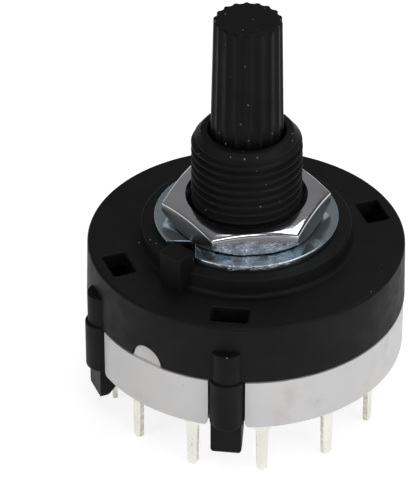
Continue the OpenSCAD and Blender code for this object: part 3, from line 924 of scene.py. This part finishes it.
def tooth_radius(turn, z):
    """Radius of the serrated shaft: a tapered round with a round groove between two teeth."""
    share = (z - NECK_Z) / (SHAFT_Z - NECK_Z)
    crest = CREST_FOOT_R + (CREST_TIP_R - CREST_FOOT_R) * share
    middle = crest + GROOVE_R - GROOVE_DEPTH
    off = 2 * math.pi / TEETH * ((turn * TEETH + 0.5) % 1.0 - 0.5)
    aside = middle * math.sin(off)
    if abs(aside) >= GROOVE_R:
        return crest
    groove = middle * math.cos(off) - math.sqrt(GROOVE_R ** 2 - aside ** 2)
    near = max(0.0, GROOVE_SOFT - abs(crest - groove)) / GROOVE_SOFT
    return min(crest, groove) - near * near * GROOVE_SOFT / 4


def make_shaft():
    """Serrated shaft, its journal and the rotor disc, moulded in one."""
    steps = TEETH * 20
    bm = bmesh.new()
    low, high = ROTOR_Z
    below = [*zip(PIVOT_R, PIVOT_Z), (PIVOT_R[1], low), (ROTOR_R, low)]
    below += [(ROTOR_R, high), (JOURNAL_R, high)]
    below += [(JOURNAL_R, JOURNAL_Z - JOURNAL_EASE), (JOURNAL_R - JOURNAL_EASE, JOURNAL_Z)]
    rings = [round_ring(bm, steps, z, r) for r, z in below]
    straight = SHAFT_Z - SHAFT_EASE
    rows = [(NECK_Z + (straight - NECK_Z) * i / 12, 0.0) for i in range(13)]
    for t in (0.4, 0.8, 1.2, math.pi / 2):
        rows.append((straight + SHAFT_EASE * math.sin(t), SHAFT_EASE * (1 - math.cos(t))))
    for z, inset in rows:
        rings.append(ring(bm, steps, z, lambda turn: tooth_radius(turn, z) - inset))
    rings.append(round_ring(bm, steps, SHAFT_Z, SHAFT_CAP_R))
    bridge(bm, rings, closed=False)
    bm.faces.new(rings[0])
    bm.faces.new(rings[-1])
    shaft = new_object("shaft_moulding", bm)
    add_rotor_details(shaft)
    soften(shaft, 32)
    finish_piece(shaft, SHAFT_BLACK, "rotor", "shaft_plastic", "rotor_shaft")


def add_rotor_details(shaft):
    """Stop rib and wiper pegs, the bore for spring and balls, and the reliefs in the underside."""
    rib = sector(*RIB_R, RIB_ANGLE, RIB_HALF, 6)
    low, high = ROTOR_Z
    adds = [prism("rib", rib, RIB_TOP_Z - high + 0.1, turned(0, z=high - 0.1))]
    for side in (-1, 1):
        peg = circle(PEG_AT[0], side * PEG_AT[1], PEG_R, 24)
        place = turned(WIPER_ANGLE, z=PEG_LOW_Z)
        adds.append(prism("peg", peg, low - PEG_LOW_Z + 0.1, place))
    combine(shaft, adds, "UNION")
    reach = ROTOR_R + 1
    bore = circle(0, BALL_Z, BALL_BORE_R, 48)
    cuts = [prism("bore", bore, 2 * reach, rim_place(BALL_ANGLE, -reach))]
    for side in (-90, 90):
        pocket = sector(*POCKET_R, BALL_ANGLE + side, POCKET_HALF)
        cuts.append(prism("pocket", pocket, POCKET_TOP_Z - 10, turned(0, z=10)))
    combine(shaft, cuts, "DIFFERENCE")


# Nut and washer

def nut_reach(off, inset):
    """Radius of the nut's hexagon, its corners rounded, at an angle off a flat's middle."""
    half, corner, across = NUT_AF / 2 - inset, max(NUT_CORNER - inset, 0.0), math.radians(30)
    off = abs(off)
    if half * math.tan(off) <= (half - corner) * math.tan(across):
        return half / math.cos(off)
    centre = (half - corner) / math.cos(across)
    aside = centre * math.sin(across - off)
    return centre * math.cos(across - off) + math.sqrt(max(0.0, corner ** 2 - aside ** 2))


def nut_edge(off, ease, face_r, slope):
    """Chamfer and rounded edge of one face, as points of (radius, drop below the face)."""
    fall = math.tan(math.radians(slope))
    points = []
    for i in range(6):
        a = math.radians(90 - 18 * i)
        r = nut_reach(off, ease * (1 - math.cos(a)))
        points.append((r, max(0.0, r - face_r) * fall + ease * (1 - math.sin(a))))
    return points


def nut_section(off):
    """Half section of the nut at an angle off a flat's middle."""
    z0, z1 = WASHER_TOP_Z, WASHER_TOP_Z + NUT_T
    upper = [(r, z1 - drop) for r, drop in nut_edge(off, NUT_EASE, NUT_FACE_R, NUT_SLOPE)]
    lower = [
        (r, z0 + drop) for r, drop in nut_edge(off, NUT_SEAT_EASE, NUT_SEAT_R, NUT_SEAT_SLOPE)
    ]
    sink, top_sink = NUT_SINK
    return (
        [(NUT_BORE_R, z0 + sink), (NUT_BORE_R, z1 - top_sink), (NUT_BORE_R + top_sink, z1)]
        + [(min(NUT_FACE_R, upper[0][0]), z1)] + upper + lower[::-1]
        + [(min(NUT_SEAT_R, lower[0][0]), z0), (NUT_BORE_R + sink, z0)]
    )


def make_nut():
    """Hexagon nut with turned chamfers on both faces and a countersunk bore."""
    bm = bmesh.new()
    sections = []
    for flat in range(6):
        for i in range(-24, 24):
            off = 30 * math.sin(math.pi / 2 * i / 24)
            angle = NUT_ANGLE + 30 + 60 * flat + off
            section = nut_section(math.radians(off))
            sections.append([bm.verts.new(polar(r, angle, z)) for r, z in section])
    bridge(bm, sections)
    nut = new_object("nut", bm)
    soften(nut, 40)
    finish_piece(nut, NICKEL, "housing", "nut_nickel", "hex_nut")


def flat_plate(name, loops, thickness, rounding, low_z):
    """Plate of an outline and its holes, its edges rounded as a press leaves them."""
    curve = bpy.data.curves.new(name, "CURVE")
    curve.dimensions = "2D"
    curve.fill_mode = "BOTH"
    curve.extrude = thickness / 2 - rounding
    curve.bevel_depth = rounding
    curve.bevel_resolution = 2
    curve.offset = -rounding
    for loop in loops:
        spline = curve.splines.new("POLY")
        spline.points.add(len(loop) - 1)
        for point, (x, y) in zip(spline.points, loop):
            point.co = (x, y, 0, 1)
        spline.use_cyclic_u = True
    maker = bpy.data.objects.new(name, curve)
    bpy.context.scene.collection.objects.link(maker)
    depsgraph = bpy.context.evaluated_depsgraph_get()
    depsgraph.update()
    made = bpy.data.meshes.new_from_object(maker.evaluated_get(depsgraph))
    bm = bmesh.new()
    bm.from_mesh(made)
    bpy.data.objects.remove(maker)
    bpy.data.curves.remove(curve)
    bpy.data.meshes.remove(made)
    bm.transform(Matrix.Translation((0, 0, low_z + thickness / 2)))
    return new_object(name, bm)


def make_washer():
    """Washer with its right-angled notch, rounded at its root."""
    turn = Matrix.Rotation(math.radians(NOTCH_ANGLE), 2)
    point = turn @ Vector((NOTCH_POINT_R, 0))
    root = arc(NOTCH_ROOT * math.sqrt(2), 0, NOTCH_ROOT, 225, 135, 5)
    notch = [tuple(turn @ Vector(p) + point) for p in root]
    half = math.degrees(math.asin(NOTCH_POINT_R * math.sin(math.radians(135)) / WASHER_R))
    reach = 45 - half
    rim = [polar(WASHER_R, NOTCH_ANGLE + reach + (360 - 2 * reach) * i / 180) for i in range(181)]
    outline = rim + notch
    hole = [polar(BUSHING_R + WASHER_GAP, -360 * i / 128) for i in range(128)]
    plate = flat_plate("washer_plate", [outline, hole], WASHER_T, WASHER_EASE, PLATFORM_Z)
    soften(plate, 40)
    finish_piece(plate, ZINC, "housing", "washer_zinc", "washer")


# Nodes of the frame that keep their own shape

def dress(node, material, width=0.0):
    """Gives a node of the frame its material and, where asked, eased edges."""
    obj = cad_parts[node]
    obj.data.materials.clear()
    obj.data.materials.append(material)
    if width:
        ease_edges(obj, width)
    soften(obj)


def dress_inner_nodes():
    """Terminals and the pieces inside the housing."""
    for i in range(POSITIONS):
        dress(f"terminal_{i + 1:02d}", TIN, 0.05)
    dress("common_terminal", TIN, 0.05)
    dress("stop_ring", ZINC, 0.04)
    dress("wiper", BRONZE, 0.03)
    for node in ("detent_spring", "detent_ball_a", "detent_ball_b"):
        dress(node, STEEL)


# Studio

VIEW_AZIMUTH = 37.5
VIEW_ELEVATION = 34.64
VIEW_DISTANCE = 280.0
PIXELS_PER_MM = 12.227
IMAGE_W, IMAGE_H = 410, 500
AXIS_PIXEL = (246.06, 235.4)
SENSOR = 36.0
FLOOR_HALF = 1500.0
FLOOR_LIFT = 0.76
FLOOR_SEEN = 0.45
FLOOR_TONE = 0.8
WORLD_LEVELS = (0.07, 0.24)
GLOW_AZIMUTH = 150
GLOW_ELEVATION = 20

# Name, azimuth, elevation, distance, size and watts of each lamp
LAMPS = (
    ("back_right", 84, 59, 300, 100, 0.12),
    ("back_left", 122, 67, 300, 100, 0.10),
    ("right", 25, 41, 300, 130, 0.13),
    ("front_top", 307, 55, 300, 130, 0.20),
    ("left_front", 255, 20, 350, 200, 0.36),
    ("right_front", 352, 20, 350, 200, 0.45),
)


def make_camera():
    """Camera at the photograph's angle, aimed so that the cover's centre falls on its pixel."""
    a, e = math.radians(VIEW_AZIMUTH), math.radians(VIEW_ELEVATION)
    back = Vector((math.sin(a) * math.cos(e), -math.cos(a) * math.cos(e), math.sin(e)))
    right = Vector((math.cos(a), math.sin(a), 0))
    up = back.cross(right)
    target = Vector((0, 0, TOP_Z))
    eye = target + back * VIEW_DISTANCE
    aside = (AXIS_PIXEL[0] - IMAGE_W / 2) / PIXELS_PER_MM
    above = (IMAGE_H / 2 - AXIS_PIXEL[1]) / PIXELS_PER_MM
    aim = target - right * aside - up * above
    data = bpy.data.cameras.new("camera")
    data.sensor_width = SENSOR
    data.lens = SENSOR * PIXELS_PER_MM * VIEW_DISTANCE / max(IMAGE_W, IMAGE_H)
    data.clip_start, data.clip_end = 0.01, 10
    camera = bpy.data.objects.new("camera", data)
    camera.location = eye * MM
    camera.rotation_mode = "QUATERNION"
    camera.rotation_quaternion = (aim - eye).to_track_quat("-Z", "Y")
    bpy.context.scene.collection.objects.link(camera)
    bpy.context.scene.camera = camera


def softbox(name, azimuth, elevation, distance_mm, size_mm, watts):
    """Square lamp at an azimuth (from +X towards +Y) and elevation, facing the switch."""
    data = bpy.data.lights.new(name, "AREA")
    data.shape = "SQUARE"
    data.size = size_mm * MM
    data.energy = watts
    lamp = bpy.data.objects.new(name, data)
    e = math.radians(elevation)
    out = Vector(polar(math.cos(e), azimuth, math.sin(e)))
    centre = Vector((0, 0, TOP_Z))
    lamp.location = (centre + out * distance_mm) * MM
    lamp.rotation_mode = "QUATERNION"
    lamp.rotation_quaternion = (-out).to_track_quat("-Z", "Y")
    bpy.context.scene.collection.objects.link(lamp)


def make_floor():
    """Pale floor that the camera and bright metal see as white, and that keeps the shadow."""
    bm = bmesh.new()
    bm.faces.new([bm.verts.new((x, y, 0)) for x, y in oblong(-FLOOR_HALF, FLOOR_HALF, FLOOR_HALF)])
    floor = new_object("studio_floor", bm)
    material = bpy.data.materials.new("studio_floor")
    material.use_nodes = True
    tree = material.node_tree
    shader = tree.nodes["Principled BSDF"]
    shader.inputs["Roughness"].default_value = 0.9
    shader.inputs["Specular IOR Level"].default_value = 0.1
    shader.inputs["Emission Color"].default_value = (1, 1, 1, 1)
    path = tree.nodes.new("ShaderNodeLightPath")
    seen = path.outputs["Is Camera Ray"]
    for kind in ("Is Glossy Ray", "Is Transmission Ray"):
        seen = maths(tree, "MAXIMUM", seen, path.outputs[kind])
    strength = maths(tree, "MULTIPLY", seen, FLOOR_LIFT)
    tree.links.new(strength, shader.inputs["Emission Strength"])
    tone = two_tone(tree, seen, (FLOOR_TONE,) * 3, (FLOOR_SEEN,) * 3)
    tree.links.new(tone, shader.inputs["Base Color"])
    floor.data.materials.append(material)


def make_world():
    """Soft pale surround, brighter behind the switch on the left than elsewhere."""
    world = bpy.data.worlds.new("studio")
    world.use_nodes = True
    tree = world.node_tree
    background = tree.nodes["Background"]
    background.inputs["Color"].default_value = (1, 1, 1, 1)
    way = tree.nodes.new("ShaderNodeTexCoord").outputs["Generated"]
    e = math.radians(GLOW_ELEVATION)
    glow = polar(math.cos(e), GLOW_AZIMUTH, math.sin(e))
    facing = vector_maths(tree, "DOT_PRODUCT", way, glow).outputs["Value"]
    level = remap(tree, facing, 0.2, 0.95, *WORLD_LEVELS, "SMOOTHSTEP")
    tree.links.new(level, background.inputs["Strength"])
    bpy.context.scene.world = world


make_cover()
make_bushing()
make_base()
make_shaft()
make_nut()
make_washer()
dress_inner_nodes()

make_floor()
make_world()
for lamp in LAMPS:
    softbox(*lamp)
make_camera()
bpy.context.scene.view_settings.view_transform = "Standard"
